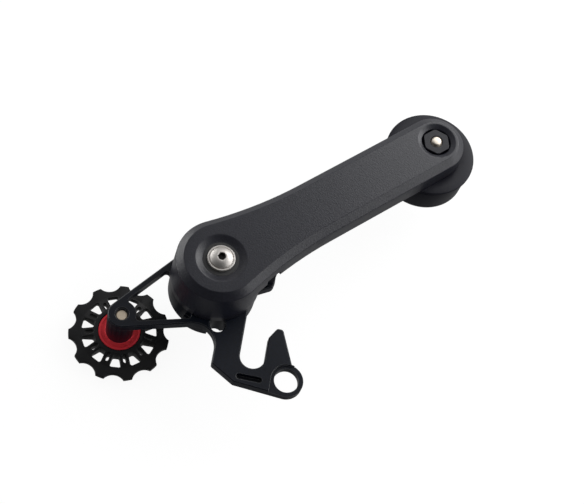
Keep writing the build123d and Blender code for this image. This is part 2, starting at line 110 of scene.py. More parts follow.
def addNode(tree, kind, settings=None, **sockets):
    # sockets name inputs, with _ for a space
    node = tree.nodes.new(kind)
    for name, value in (settings or {}).items():
        setattr(node, name, value)
    for label, value in sockets.items():
        wanted = label.replace("_", " ")
        setSocket(tree, next(item for item in node.inputs if item.enabled and item.name == wanted), value)
    return node


def addMath(tree, operation, *values):
    node = addNode(tree, "ShaderNodeMath", dict(operation=operation))
    for socket, value in zip(node.inputs, values):
        setSocket(tree, socket, value)
    return node.outputs[0]


def addVectorMath(tree, operation, first, second):
    node = addNode(tree, "ShaderNodeVectorMath", dict(operation=operation))
    setSocket(tree, node.inputs[0], first)
    setSocket(tree, node.inputs["Scale" if operation == "SCALE" else 1], second)
    return node.outputs["Value" if operation == "DOT_PRODUCT" else "Vector"]


# Shader groups shared by the finishes

def newGroup(name, inputs, outputs):
    group = bpy.data.node_groups.new(name, "ShaderNodeTree")
    for label, kind, value in inputs:
        socket = group.interface.new_socket(label, in_out="INPUT", socket_type=kind)
        if value is not None:
            socket.default_value = value
    for label, kind in outputs:
        group.interface.new_socket(label, in_out="OUTPUT", socket_type=kind)
    return group, group.nodes.new("NodeGroupInput"), group.nodes.new("NodeGroupOutput")


def addNoise(group, given, **settings):
    # noise over the piece, at the group's own size
    coords = group.nodes.new("ShaderNodeTexCoord")
    scale = addMath(group, "DIVIDE", 1.0, given.outputs["Size"])
    noise = addNode(group, "ShaderNodeTexNoise", Vector=coords.outputs["Object"], Scale=scale, **settings)
    return noise.outputs["Fac"]


def buildGrain():
    # fine moulded or blasted texture, in height and in a slight speckle of shade
    group, given, result = newGroup(
        "surfaceGrain",
        [("Size", "NodeSocketFloat", 0.0003), ("Speckle", "NodeSocketFloat", 0.2)],
        [("Height", "NodeSocketFloat"), ("Shade", "NodeSocketFloat")])
    height = addNoise(group, given, Detail=3.0, Roughness=0.65)
    swing = addMath(group, "SUBTRACT", height, 0.5)
    shade = addMath(group, "MULTIPLY_ADD", swing, given.outputs["Speckle"], 1.0)
    group.links.new(height, result.inputs["Height"])
    group.links.new(shade, result.inputs["Shade"])
    return group


def buildMottle():
    # slow drift of shade and gloss over a surface, as on dyed, anodised or handled parts
    group, given, result = newGroup(
        "finishMottle",
        [("Size", "NodeSocketFloat", 0.012), ("Shade Spread", "NodeSocketFloat", 0.1),
         ("Gloss Spread", "NodeSocketFloat", 0.1), ("Roughness", "NodeSocketFloat", 0.4)],
        [("Shade", "NodeSocketFloat"), ("Roughness", "NodeSocketFloat")])
    swing = addMath(group, "SUBTRACT", addNoise(group, given, Detail=2.0), 0.5)
    shade = addMath(group, "MULTIPLY_ADD", swing, given.outputs["Shade Spread"], 1.0)
    gloss = addMath(group, "MULTIPLY_ADD", swing, given.outputs["Gloss Spread"], given.outputs["Roughness"])
    group.links.new(shade, result.inputs["Shade"])
    group.links.new(gloss, result.inputs["Roughness"])
    return group


def buildTurning():
    # fine concentric lines that a lathe leaves round an axis
    group, given, result = newGroup(
        "lathedLines",
        [("Centre", "NodeSocketVector", None), ("Pitch", "NodeSocketFloat", 0.0002)],
        [("Height", "NodeSocketFloat")])
    coords = group.nodes.new("ShaderNodeTexCoord")
    offset = addVectorMath(group, "SUBTRACT", coords.outputs["Object"], given.outputs["Centre"])
    x, y, z = addNode(group, "ShaderNodeSeparateXYZ", Vector=offset).outputs
    radius = addMath(group, "SQRT", addMath(group, "MULTIPLY_ADD", y, y, addMath(group, "MULTIPLY", x, x)))
    turns = addMath(group, "DIVIDE", addMath(group, "ADD", radius, z), given.outputs["Pitch"])
    height = addMath(group, "SINE", addMath(group, "MULTIPLY", turns, 2 * pi))
    group.links.new(height, result.inputs["Height"])
    return group


def buildEdgeGlint():
    # painted highlight: where the softened edge turns away from the flat face, the colour is painted a little
    # brighter, as a glint on the edge
    group, given, result = newGroup(
        "edgeWear",
        [("Soft Normal", "NodeSocketVector", None), ("Amount", "NodeSocketFloat", 0.1)],
        [("Glint", "NodeSocketFloat")])
    gain = 4.0  # how soon the painted highlight is full as the edge turns
    face = group.nodes.new("ShaderNodeNewGeometry")
    match = addVectorMath(group, "DOT_PRODUCT", face.outputs["Normal"], given.outputs["Soft Normal"])
    turned = addMath(group, "SUBTRACT", 1.0, match)
    edge = addMath(group, "MINIMUM", addMath(group, "MULTIPLY", turned, gain), 1.0)
    group.links.new(addMath(group, "MULTIPLY", edge, given.outputs["Amount"]), result.inputs["Glint"])
    return group


grainGroup = buildGrain()
mottleGroup = buildMottle()
turningGroup = buildTurning()
wearGroup = buildEdgeGlint()


def placeGroup(tree, group, **sockets):
    return addNode(tree, "ShaderNodeGroup", dict(node_tree=group), **sockets)


def makeFinish(name, look, centre):
    material = bpy.data.materials.new(name)
    material.use_nodes = True
    tree = material.node_tree
    shader = tree.nodes["Principled BSDF"]
    shader.inputs["Metallic"].default_value = look.get("metallic", 0.0)
    shader.inputs["Specular IOR Level"].default_value = look.get("specular", 0.5)
    mottle = placeGroup(tree, mottleGroup, Size=look["mottle"], Shade_Spread=look["shadeSpread"],
                        Gloss_Spread=look["glossSpread"], Roughness=look["roughness"])
    tree.links.new(mottle.outputs["Roughness"], shader.inputs["Roughness"])
    shade = mottle.outputs["Shade"]
    height = normal = None
    if "grain" in look:
        grain = placeGroup(tree, grainGroup, Size=look["grain"], Speckle=look["speckle"])
        shade = addMath(tree, "MULTIPLY", shade, grain.outputs["Shade"])
        height = grain.outputs["Height"]
    if "turning" in look:
        height = placeGroup(tree, turningGroup, Centre=centre, Pitch=look["turning"]).outputs["Height"]
    if "paintedSocketShade" in look:  # painted shade: the colour is darkened inside a key's socket, as shade in the recess
        socketMark = addNode(tree, "ShaderNodeAttribute", dict(attribute_name="socket"))
        unshaded = addMath(tree, "MULTIPLY_ADD", socketMark.outputs["Fac"], -look["paintedSocketShade"], 1.0)
        shade = addMath(tree, "MULTIPLY", shade, unshaded)
    colour = addVectorMath(tree, "SCALE", look["colour"], shade)
    if "edge" in look:  # the small radius that every real edge has
        normal = addNode(tree, "ShaderNodeBevel", dict(samples=8), Radius=look["edge"]).outputs["Normal"]
    # painted highlight: brighter colour along the softened edges
    if "wear" in look:
        wear = placeGroup(tree, wearGroup, Soft_Normal=normal, Amount=look["wear"])
        colour = addVectorMath(tree, "ADD", colour, wear.outputs["Glint"])
    tree.links.new(colour, shader.inputs["Base Color"])
    if height is not None:  # grain or turned lines, over the soft edge
        normal = addNode(tree, "ShaderNodeBump", Strength=look["bump"], Distance=look["bumpDepth"],
                         Height=height, Normal=normal).outputs["Normal"]
    if normal is not None:
        tree.links.new(normal, shader.inputs["Normal"])
    return material


# lengths in the finishes are in metres
# the amount that brightens a finish's edges paints a highlight there
mouldedCharcoal = dict(
    colour=(0.0095, 0.0102, 0.0178), roughness=0.36, specular=0.65, edge=0.0004, wear=0.1, mottle=0.03,
    shadeSpread=0.08, glossSpread=0.08, grain=0.0007, speckle=1.6, bump=0.42, bumpDepth=0.0002)
blackAnodised = dict(
    colour=(0.0014, 0.0032, 0.0088), roughness=0.36, specular=0.38, edge=0.0003, wear=0.15, mottle=0.01,
    shadeSpread=0.25, glossSpread=0.12, grain=0.0006, speckle=2.5, bump=0.2, bumpDepth=0.0001)
wheelBlack = dict(
    colour=(0.0028, 0.0029, 0.004), roughness=0.42, specular=0.4, edge=0.0003, wear=0.04, mottle=0.008,
    shadeSpread=0.2, glossSpread=0.12, grain=0.00018, speckle=0.3, bump=0.1, bumpDepth=0.00005)
redAnodised = dict(
    colour=(0.74, 0.034, 0.05), roughness=0.45, metallic=0.4, edge=0.00012, mottle=0.004,
    shadeSpread=0.12, glossSpread=0.1, turning=0.0004, bump=0.05, bumpDepth=0.00003)
# its socket amount paints shade into the key's socket
stainless = dict(
    colour=(0.71, 0.68, 0.65), roughness=0.5, metallic=1.0, paintedSocketShade=0.85, mottle=0.002,
    shadeSpread=0.06, glossSpread=0.1)
platedSteel = dict(
    colour=(0.8, 0.73, 0.64), roughness=0.45, metallic=1.0, edge=0.0002, mottle=0.003,
    shadeSpread=0.08, glossSpread=0.1)
boltEnd = dict(platedSteel, colour=(0.92, 0.79, 0.62))
springSteel = dict(
    colour=(0.24, 0.24, 0.25), roughness=0.35, metallic=1.0, edge=0.0002, mottle=0.005,
    shadeSpread=0.2, glossSpread=0.15)
blackOxide = dict(
    colour=(0.0105, 0.011, 0.0165), roughness=0.42, specular=0.36, edge=0.0002, wear=0.06, mottle=0.004,
    shadeSpread=0.2, glossSpread=0.12)
rollerCharcoal = dict(
    colour=(0.004, 0.0044, 0.0105), roughness=0.42, specular=0.26, edge=0.0003, wear=0.03, mottle=0.015,
    shadeSpread=0.1, glossSpread=0.1, turning=0.0003, bump=0.05, bumpDepth=0.00004)
bushPolymer = dict(
    colour=(0.03, 0.03, 0.031), roughness=0.5, edge=0.0002, mottle=0.005, shadeSpread=0.1, glossSpread=0.08)
sealRubber = dict(
    colour=(0.02, 0.02, 0.021), roughness=0.55, edge=0.0002, mottle=0.004, shadeSpread=0.12, glossSpread=0.1)

lookOf = {
    "black_anodised": blackAnodised, "arm_plastic": mouldedCharcoal, "bush_polymer": bushPolymer,
    "steel": platedSteel, "stainless": stainless, "spring_steel": springSteel, "wheel_black": wheelBlack,
    "cover_red": redAnodised, "bearing_steel": platedSteel, "seal_rubber": sealRubber,
    "roller_plastic": rollerCharcoal, "nut_black": blackOxide}
ownLook = {"jockey_bolt": boltEnd, "roller_bolt": platedSteel}  # warmer steel than the rest of their slots


def axisFor(node):
    if node.startswith("jockey"):
        return axisOf["jockey_spin"]
    if node.startswith("roller"):
        return axisOf["roller_spin"]
    return axisOf["arm_pivot"]


finishes = {}
finished = []


def finishFor(node):
    slotName = slotOf[node]
    look = ownLook.get(node, lookOf[slotName])
    label = slotName
    if node in ownLook:
        label = f"{slotName}_{node}"
    elif "turning" in look:  # turned lines run round the piece's own axis
        label = f"{slotName}_{node.split('_')[0]}"
    if label not in finishes:
        finishes[label] = makeFinish(label, look, axisFor(node))
    return finishes[label]


def finishPiece(node, mesh, smoothAngle=28, winds=None):
    # a finished mesh takes its node's place, body and finish
    if not mesh.has_custom_normals:
        mesh.shade_smooth()
        mesh.set_sharp_from_angle(angle=radians(smoothAngle))
    mesh.materials.clear()
    mesh.materials.append(finishFor(node))
    piece = addObject(f"{node}_piece", mesh)
    if winds is None:
        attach(piece, bodyOf[node])
    else:
        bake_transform(piece)
    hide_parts(node)
    finished.append(node)


def copyNode(node):
    # the node's own solid with its triangles joined, so that round faces shade as round
    work = bmesh.new()
    work.from_mesh(nodes[node].data)
    bmesh.ops.remove_doubles(work, verts=work.verts, dist=weldReach)
    return work


def shellFrom(work, name):
    mesh = meshFrom(work, name)
    mesh.attributes.remove(mesh.attributes["custom_normal"])  # the shading of the loose triangles
    return mesh


def levelsOf(node):
    low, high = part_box(node)
    return low.z / mm, high.z / mm


# Pieces turned on a lathe, some with hexagon sockets or flats; sizes of pieces are in mm and degrees

uncut = 9.0  # further out than any hexagon's corners here, so they stay sharp
socketReach = 2.0  # a key's socket lies within this radius


def turnedMesh(name, centre, rings, closed=False, turn=0.0, steps=120, socketTop=None):
    # each ring is (radius, level) along the axis; with a third entry it is a hexagon, the radius is half its
    # width, and its corners are cut round at that entry
    work = bmesh.new()
    rows = []
    for radius, level, *cut in rings:
        if radius == 0:
            rows.append([work.verts.new((centre.x, centre.y, level * mm))])
            continue
        row = []
        for step in range(steps):
            angle = 2 * pi * step / steps
            reach = min(radius / cos(angle % (pi / 3) - pi / 6), cut[0]) if cut else radius
            spot = angle + radians(turn)
            x = centre.x + reach * cos(spot) * mm
            y = centre.y + reach * sin(spot) * mm
            row.append(work.verts.new((x, y, level * mm)))
        rows.append(row)
    pairs = list(zip(rows, rows[1:]))
    if closed:
        pairs.append((rows[-1], rows[0]))
    for lower, upper in pairs:
        for step in range(steps):
            after = (step + 1) % steps
            if len(lower) == 1:
                work.faces.new((lower[0], upper[after], upper[step]))
            elif len(upper) == 1:
                work.faces.new((lower[step], lower[after], upper[0]))
            else:
                work.faces.new((lower[step], lower[after], upper[after], upper[step]))
    bmesh.ops.recalc_face_normals(work, faces=work.faces)
    mesh = meshFrom(work, name)
    if socketTop is not None:  # marks the socket, where the finish paints shade
        marks = []
        for vertex in mesh.vertices:
            offset = hypot(vertex.co.x - centre.x, vertex.co.y - centre.y)
            marks.append(float(vertex.co.z < socketTop * mm and offset < socketReach * mm))
        mesh.attributes.new("socket", "FLOAT", "POINT").data.foreach_set("value", marks)
    return mesh


def softCorner(radius, level, steps):
    # a rounded corner, in steps inward and down from where its two faces would meet
    return [(radius - inward, level - down) for inward, down in steps]


pivotBolt = dict(
    shank=2.5, shankEnd=0.4, flange=5.7, flangeHeight=1.2, flangeEdge=0.15,
    flangeSoft=((0.0, 0.3), (0.08, 0.1), (0.25, 0.0)), flangeFlat=0.65, groove=0.25, grooveDepth=0.35,
    head=4.65, headHeight=1.7, skirt=0.25, domePower=1.6, domeSteps=10,
    key=1.45, keyDepth=2.3, keyPoint=0.3, keyEdge=0.25, keyRim=0.45, rimSoft=((0.15, 0.02),), shadeFrom=0.1)


def buildPivotBolt():
    form = pivotBolt
    bottom, crown = levelsOf("pivot_bolt")
    seat = crown - form["headHeight"]
    base = seat - form["flangeHeight"]
    valley = seat - form["grooveDepth"]
    keyEnd = crown - form["keyDepth"]
    rim = form["key"] + form["keyRim"]
    rings = [(0, bottom), (form["shank"] - form["shankEnd"], bottom),
             (form["shank"], bottom + form["shankEnd"]), (form["shank"], base),
             (form["flange"] - form["flangeEdge"], base), (form["flange"], base + form["flangeEdge"])]
    rings += softCorner(form["flange"], seat, form["flangeSoft"])
    rings += [(form["flange"] - form["flangeFlat"], seat), (form["head"] + form["groove"], valley),
              (form["head"], valley)]
    for step in range(form["domeSteps"] + 1):  # low dome from the flange's groove to the socket
        share = step / form["domeSteps"]
        rise = form["skirt"] + (form["headHeight"] - form["skirt"]) * (1 - (1 - share) ** form["domePower"])
        rings.append((form["head"] - (form["head"] - rim) * share, seat + rise))
    rings += softCorner(rim, crown, form["rimSoft"])
    rings += [(form["key"], crown - form["keyEdge"], uncut), (form["key"], keyEnd, uncut),
              (0, keyEnd - form["keyPoint"])]
    bolt = turnedMesh("pivotBolt", axisOf["arm_pivot"], rings, socketTop=crown - form["shadeFrom"])
    finishPiece("pivot_bolt", bolt)


jockeyCover = dict(
    bore=2.55, boss=3.8, bossHeight=0.15, outer=8.8, outerEdge=0.12, height=1.2,
    outerSoft=((0.0, 0.3), (0.08, 0.12), (0.22, 0.0)), rimInner=7.7, floor=0.25, collar=6.0,
    edge=0.1, edgeDrop=0.06, slope=0.15,
    grooves=(7.15, 6.75), grooveTop=0.1, grooveBottom=0.04, grooveDepth=0.08)


def buildCover(node, side):
    form = jockeyCover
    low, high = levelsOf(node)
    back = low if side > 0 else high
    top = form["height"]
    floor = top - form["floor"]
    valley = floor - form["grooveDepth"]
    rings = [(form["bore"], 0), (form["boss"], 0), (form["boss"], form["bossHeight"]),
             (form["outer"] - form["outerEdge"], form["bossHeight"]),
             (form["outer"], form["bossHeight"] + form["outerEdge"])]
    rings += softCorner(form["outer"], top, form["outerSoft"])
    rings += [(form["rimInner"] + form["edge"], top), (form["rimInner"], top - form["edgeDrop"]),
              (form["rimInner"] - form["slope"], floor)]
    for groove in form["grooves"]:
        rings += [(groove + form["grooveTop"], floor), (groove + form["grooveBottom"], valley),
                  (groove - form["grooveBottom"], valley), (groove - form["grooveTop"], floor)]
    rings += [(form["collar"] + form["slope"], floor), (form["collar"], top - form["edgeDrop"]),
              (form["collar"] - form["edge"], top), (form["bore"] + form["slope"], top),
              (form["bore"], top - form["slope"])]
    placed = [(radius, back + side * height) for radius, height in rings]
    finishPiece(node, turnedMesh(node, axisOf["jockey_spin"], placed, closed=True))


roller = dict(
    steps=180, flange=19.95, flangeHeight=1.3, flangeSoft=((0.35, 0.0), (0.1, 0.1), (0.0, 0.35)), edge=0.3,
    groove=18.0, grooveHeight=1.4, body=19.1, bodySoft=((0.0, -0.6), (0.18, -0.18), (0.6, 0.0)),
    face=12.2, faceDepth=1.6, faceSoft=((0.0, 0.1), (-0.2, 0.0)), lip=6.8, lipHeight=1.2, lipEdge=0.2,
    seat=8.0, back=16.6, backDepth=2.4)


def buildRoller():
    form = roller
    bottom, top = levelsOf("roller")
    floor = top - form["faceDepth"]
    shelf = floor - form["lipHeight"]
    under = top - form["flangeHeight"]
    start = under - form["grooveHeight"]
    inside = bottom + form["backDepth"]
    edge = form["edge"]
    rings = [(form["lip"], shelf), (form["lip"], floor - form["lipEdge"]),
             (form["lip"] + form["lipEdge"], floor), (form["face"] - form["faceDepth"], floor)]
    rings += softCorner(form["face"], top, form["faceSoft"])
    rings += softCorner(form["flange"], top, form["flangeSoft"])
    rings += [(form["flange"], under + edge), (form["flange"] - edge, under), (form["groove"] + edge, under),
              (form["groove"], under - edge), (form["groove"], start + edge), (form["groove"] + edge, start),
              (form["body"] - edge, start), (form["body"], start - edge)]
    rings += softCorner(form["body"], bottom, form["bodySoft"])
    rings += [(form["back"], bottom), (form["back"] - form["backDepth"], inside), (form["seat"], inside),
              (form["seat"], shelf)]
    turned = turnedMesh("roller", axisOf["roller_spin"], rings, closed=True, steps=form["steps"])
    finishPiece("roller", turned)


rollerNut = dict(
    flats=5.4, corner=6.2, chamfer=0.3, edge=0.12, bore=2.55, boreEdge=0.3, boreMouth=0.4, turn=43.1)


def buildNut():
    form = rollerNut
    bottom, top = levelsOf("roller_nut")
    flats, bore, corner, edge = form["flats"], form["bore"], form["corner"], form["edge"]
    cut = corner - form["chamfer"]
    rings = [(bore, bottom + form["boreEdge"]), (bore + form["boreEdge"], bottom), (flats, bottom, cut),
             (flats, bottom + form["chamfer"], corner), (flats, top - form["chamfer"], corner),
             (flats, top - edge, cut), (flats - edge, top, cut - edge),
             (bore + form["boreMouth"], top), (bore, top - form["boreMouth"])]
    nut = turnedMesh("rollerNut", axisOf["roller_spin"], rings, closed=True, turn=form["turn"])
    finishPiece("roller_nut", nut)


rollerBolt = dict(
    shank=2.5, head=4.25, headHeight=3.0, headEdge=0.5, seatEdge=0.15,
    key=2.0, keyDepth=2.0, keyPoint=0.3, keyEdge=0.2, keyRim=0.45,
    threadTop=0.9, threadShare=0.5, pitch=0.8, depth=0.3,
    neck=2.05, neckDrop=0.3, tipSoft=((0.0, 0.45), (0.3, 0.17), (0.9, 0.04)))


def buildRollerBolt():
    form = rollerBolt
    bottom, tip = levelsOf("roller_bolt")
    seat = bottom + form["headHeight"]
    shoulder = tip - form["threadTop"]
    keyEnd = bottom + form["keyDepth"]
    rings = [(0, keyEnd + form["keyPoint"]), (form["key"], keyEnd, uncut),
             (form["key"], bottom + form["keyEdge"], uncut), (form["key"] + form["keyRim"], bottom),
             (form["head"] - form["headEdge"], bottom), (form["head"], bottom + form["headEdge"]),
             (form["head"], seat - form["seatEdge"]), (form["head"] - form["seatEdge"], seat),
             (form["shank"], seat)]
    threads = int((shoulder - seat) * form["threadShare"] / form["pitch"])
    for turn in range(threads, 0, -1):  # rolled thread under the nut
        level = shoulder - turn * form["pitch"]
        rings += [(form["shank"], level), (form["shank"] - form["depth"], level + form["pitch"] / 2)]
    rings.append((form["neck"], shoulder - form["neckDrop"]))  # turned down, to stand clear of the nut's bore
    rings += softCorner(form["neck"], tip, form["tipSoft"])
    rings.append((0, tip))
    finishPiece("roller_bolt", turnedMesh("rollerBolt", axisOf["roller_spin"], rings))


buildPivotBolt()
buildCover("jockey_cover_front", 1)
buildCover("jockey_cover_rear", -1)
buildRoller()
buildNut()
buildRollerBolt()
print("turned pieces done")


# What repeats by a rule grows in geometry nodes

def newGrowth(name, inputs):
    tree = bpy.data.node_groups.new(name, "GeometryNodeTree")
    tree.interface.new_socket("Geometry", in_out="INPUT", socket_type="NodeSocketGeometry")
    for label, kind in inputs:
        tree.interface.new_socket(label, in_out="INPUT", socket_type=kind)
    tree.interface.new_socket("Geometry", in_out="OUTPUT", socket_type="NodeSocketGeometry")
    return tree, tree.nodes.new("NodeGroupInput"), tree.nodes.new("NodeGroupOutput")


def closeGrowth(tree, given, result, geometry, place):
    # what has grown is moved to its place, joined and painted
    moved = addNode(tree, "GeometryNodeTransform", Geometry=geometry, Translation=given.outputs[place])
    whole = addNode(tree, "GeometryNodeRealizeInstances", Geometry=moved.outputs[0])
    joined = addNode(tree, "GeometryNodeMergeByDistance", Geometry=whole.outputs[0], Distance=weldReach)
    painted = addNode(tree, "GeometryNodeSetMaterial", Geometry=joined.outputs[0],
                      Material=given.outputs["Finish"])
    tree.links.new(painted.outputs[0], result.inputs[0])
    return tree


def growMesh(name, tree, start, values):
    carrier = addObject(name, start)
    modifier = carrier.modifiers.new("growth", "NODES")
    modifier.node_group = tree
    for item in tree.interface.items_tree:
        if item.in_out == "INPUT" and item.name in values:
            modifier[item.identifier] = values[item.name]
    grown = evaluatedMesh(carrier)
    work = bmesh.new()
    work.from_mesh(grown)
    bmesh.ops.recalc_face_normals(work, faces=work.faces)
    work.to_mesh(grown)
    work.free()
    return grown


def buildWheelTree():
    # one sector of a wheel, copied round its axis
    tree, given, result = newGrowth("wheelFromSector", [
        ("Teeth", "NodeSocketInt"), ("Phase", "NodeSocketFloat"), ("Centre", "NodeSocketVector"),
        ("Finish", "NodeSocketMaterial")])
    spots = addNode(tree, "GeometryNodeMeshLine", Count=given.outputs["Teeth"], Offset=(0.0, 0.0, 0.0))
    index = addNode(tree, "GeometryNodeInputIndex")
    pitch = addMath(tree, "DIVIDE", 2 * pi, given.outputs["Teeth"])
    angle = addMath(tree, "MULTIPLY_ADD", index.outputs[0], pitch, given.outputs["Phase"])
    euler = addNode(tree, "ShaderNodeCombineXYZ", Z=angle)
    turn = addNode(tree, "FunctionNodeEulerToRotation", Euler=euler.outputs[0])
    copies = addNode(tree, "GeometryNodeInstanceOnPoints", Points=spots.outputs[0],
                     Instance=given.outputs["Geometry"], Rotation=turn.outputs[0])
    return closeGrowth(tree, given, result, copies.outputs[0], "Centre")


wheel = dict(
    teeth=11, phase=30.1, tip=21.1, root=18.65, valley=5.3, rim=1.2, rimInner=16.4, hub=3.3, hubOuter=10.1,
    recess=8.95, recessFloor=2.0, recessEdge=0.15, bore=6.5,
    edge=0.22,
    edgeSoft=((0.0, 0.0), (0.5, 0.13), (0.87, 0.5), (1.0, 1.0)),  # shares of edge, outward and down
    windowInner=10.7, windowOuter=15.7, windowInnerHalf=1.3, windowOuterHalf=2.5, windowCorner=0.8,
    slotAt=12.4, slotHalf=1.0, slotRadius=0.7,
    # how the sector's mesh is divided
    seam=5.5, cross=16.6, crossSteps=5, seamSpots=(15.2, 13.9, 12.6, 11.3), arcSteps=24, tipSteps=6,
    valleySteps=18, cornerSteps=6, slotSteps=8, webSpots=(10.9, 11.8, 12.7, 13.6, 14.5, 15.4, 15.95),
    webClear=0.25, planReach=1e-5, digits=4)


def fromPolar(radius, angle):
    return radius * cos(angle), radius * sin(angle)


def turnSpot(x, y, angle):
    return x * cos(angle) - y * sin(angle), x * sin(angle) + y * cos(angle)


def wheelLevel(spot):
    # half the wheel's thickness: its web is a cone from hub to rim
    share = (hypot(*spot) - wheel["hubOuter"]) / (wheel["rimInner"] - wheel["hubOuter"])
    return wheel["hub"] + (wheel["rim"] - wheel["hub"]) * min(max(share, 0.0), 1.0)


def toothChain(inset):
    # one tooth from valley to valley, drawn in from the edge
    half = pi / wheel["teeth"]
    far = wheel["root"] + wheel["valley"]
    bite = wheel["valley"] + inset
    tip = wheel["tip"] - inset
    corner = acos((far ** 2 + tip ** 2 - bite ** 2) / (2 * far * tip))
    swing = acos((far ** 2 + bite ** 2 - tip ** 2) / (2 * far * bite))
    tipSteps, valleySteps = wheel["tipSteps"], wheel["valleySteps"]
    side = [fromPolar(tip, (half - corner) * step / tipSteps) for step in range(tipSteps + 1)]
    for step in range(1, valleySteps + 1):
        angle = swing * (1 - step / valleySteps)
        side.append(turnSpot(far - bite * cos(angle), -bite * sin(angle), half))
    return [(x, -y) for x, y in reversed(side[1:])] + side


def windowLoop(grow):
    # the tapered window beside the spoke, with round corners
    inner, outer = wheel["windowInner"], wheel["windowOuter"]
    low, high, soft = wheel["windowInnerHalf"], wheel["windowOuterHalf"], wheel["windowCorner"]
    lean = atan2(high - low, outer - inner)
    pull = soft * (1 / cos(lean))
    slope = (high - low) / (outer - inner)
    nearY = low + soft * slope - pull
    farY = high - soft * slope - pull
    corners = [(outer - soft, farY, 0, pi / 2 + lean), (inner + soft, nearY, pi / 2 + lean, pi),
               (inner + soft, -nearY, pi, 3 * pi / 2 - lean),
               (outer - soft, -farY, 3 * pi / 2 - lean, 2 * pi)]
    middle = -pi / wheel["teeth"]
    loop = []
    for x, y, start, end in corners:
        for step in range(wheel["cornerSteps"] + 1):
            angle = start + (end - start) * step / wheel["cornerSteps"]
            loop.append(turnSpot(x + (soft + grow) * cos(angle), y + (soft + grow) * sin(angle), middle))
    return loop


def slotLoop(grow):
    # the long slot down the spoke
    radius = wheel["slotRadius"] + grow
    loop = []
    for side, start in ((1, -pi / 2), (-1, pi / 2)):
        middle = wheel["slotAt"] + side * wheel["slotHalf"]
        for step in range(wheel["slotSteps"] + 1):
            angle = start + pi * step / wheel["slotSteps"]
            loop.append((middle + radius * cos(angle), radius * sin(angle)))
    return loop


def isInside(spot, loop):
    x, y = spot
    inside = False
    for (ax, ay), (bx, by) in zip(loop, loop[1:] + loop[:1]):
        if (ay > y) != (by > y) and x < (bx - ax) * (y - ay) / (by - ay) + ax:
            inside = not inside
    return inside


def sectorPlan():
    # the sector's flat plan, cut into triangles round its window and slot
    edge = wheel["edge"]
    pitch = 2 * pi / wheel["teeth"]
    seam = radians(wheel["seam"])
    crossSteps, arcSteps = wheel["crossSteps"], wheel["arcSteps"]
    path = [fromPolar(wheel["cross"], pitch / 2 + (seam - pitch / 2) * step / crossSteps)
            for step in range(crossSteps + 1)]
    path += [fromPolar(radius, seam)
             for radius in (wheel["rimInner"], *wheel["seamSpots"], wheel["hubOuter"])]
    arcs = [seam - pitch * step / arcSteps for step in range(arcSteps + 1)]
    inner = [fromPolar(wheel["recess"] + wheel["recessEdge"], angle) for angle in arcs]
    other = [turnSpot(x, y, -pitch) for x, y in reversed(path)]
    border = toothChain(edge) + path + inner + other
    holes = [windowLoop(edge), slotLoop(edge)]
    spots, links = [], []
    for loop in [border] + holes:
        first = len(spots)
        spots += loop
        links += [(first + k, first + (k + 1) % len(loop)) for k in range(len(loop))]
    for radius in (wheel["rimInner"], wheel["hubOuter"]):  # creases where the cone meets rim and hub
        first = len(spots)
        spots += [fromPolar(radius, angle) for angle in arcs]
        links += [(first + k, first + k + 1) for k in range(arcSteps)]
    clear = [outline(edge + wheel["webClear"]) for outline in (windowLoop, slotLoop)]
    for radius in wheel["webSpots"]:
        for angle in arcs[1:-1]:
            spot = fromPolar(radius, angle)
            if not any(isInside(spot, loop) for loop in clear):
                spots.append(spot)
    flat = delaunay_2d_cdt([Vector(spot) for spot in spots], links, [], 0, wheel["planReach"])
    plan = []
    for triangle in flat[2]:  # each holds places in the list of corners, flat[0]
        corners = [tuple(flat[0][k]) for k in triangle]
        middle = (sum(x for x, y in corners) / 3, sum(y for x, y in corners) / 3)
        if isInside(middle, border) and not any(isInside(middle, hole) for hole in holes):
            plan.append(corners)
    return plan, inner


def buildSector():
    edge = wheel["edge"]
    work = bmesh.new()
    known = {}

    def corner(spot, level):
        key = tuple(round(value, wheel["digits"]) for value in (*spot, level))
        if key not in known:
            known[key] = work.verts.new((spot[0] * mm, spot[1] * mm, level * mm))
        return known[key]

    def addBoth(points):  # the wheel is the same on both sides
        for side in (1, -1):
            face = []
            for spot, level in points:
                vertex = corner(spot, side * level)
                if vertex not in face:
                    face.append(vertex)
            if len(face) > 2 and work.faces.get(face) is None:
                work.faces.new(face)

    plan, inner = sectorPlan()
    for triangle in plan:
        addBoth([(spot, wheelLevel(spot)) for spot in triangle])
    for outline, closed in ((toothChain, False), (windowLoop, True), (slotLoop, True)):
        tops = [wheelLevel(spot) for spot in outline(edge)]
        rows = [[(spot, top - down * edge) for spot, top in zip(outline(edge * (1 - outward)), tops)]
                for outward, down in wheel["edgeSoft"]]
        rows.append([(spot, 0.0) for spot in outline(0.0)])
        count = len(tops)
        for upper, lower in zip(rows, rows[1:]):
            for k in range(count if closed else count - 1):
                after = (k + 1) % count
                addBoth([upper[k], upper[after], lower[after], lower[k]])
    recess, floor = wheel["recess"], wheel["recessFloor"]
    steps = [(recess + wheel["recessEdge"], wheel["hub"]), (recess, wheel["hub"] - wheel["recessEdge"]),
             (recess, floor), (wheel["bore"], floor), (wheel["bore"], 0.0)]
    for (outerRadius, outerLevel), (radius, level) in zip(steps, steps[1:]):
        for pair in zip(inner, inner[1:]):
            angles = [atan2(y, x) for x, y in pair]
            addBoth([(fromPolar(outerRadius, angle), outerLevel) for angle in angles]
                    + [(fromPolar(radius, angle), level) for angle in reversed(angles)])
    return meshFrom(work, "wheelSector")


def buildWheel():
    low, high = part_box("jockey_wheel")
    centre = axisOf["jockey_spin"].copy()
    centre.z = (low.z + high.z) / 2
    values = {"Teeth": wheel["teeth"], "Phase": radians(wheel["phase"]), "Centre": centre,
              "Finish": finishFor("jockey_wheel")}
    finishPiece("jockey_wheel", growMesh("wheelGrowth", buildWheelTree(), buildSector(), values))


buildWheel()
print("wheel grown")


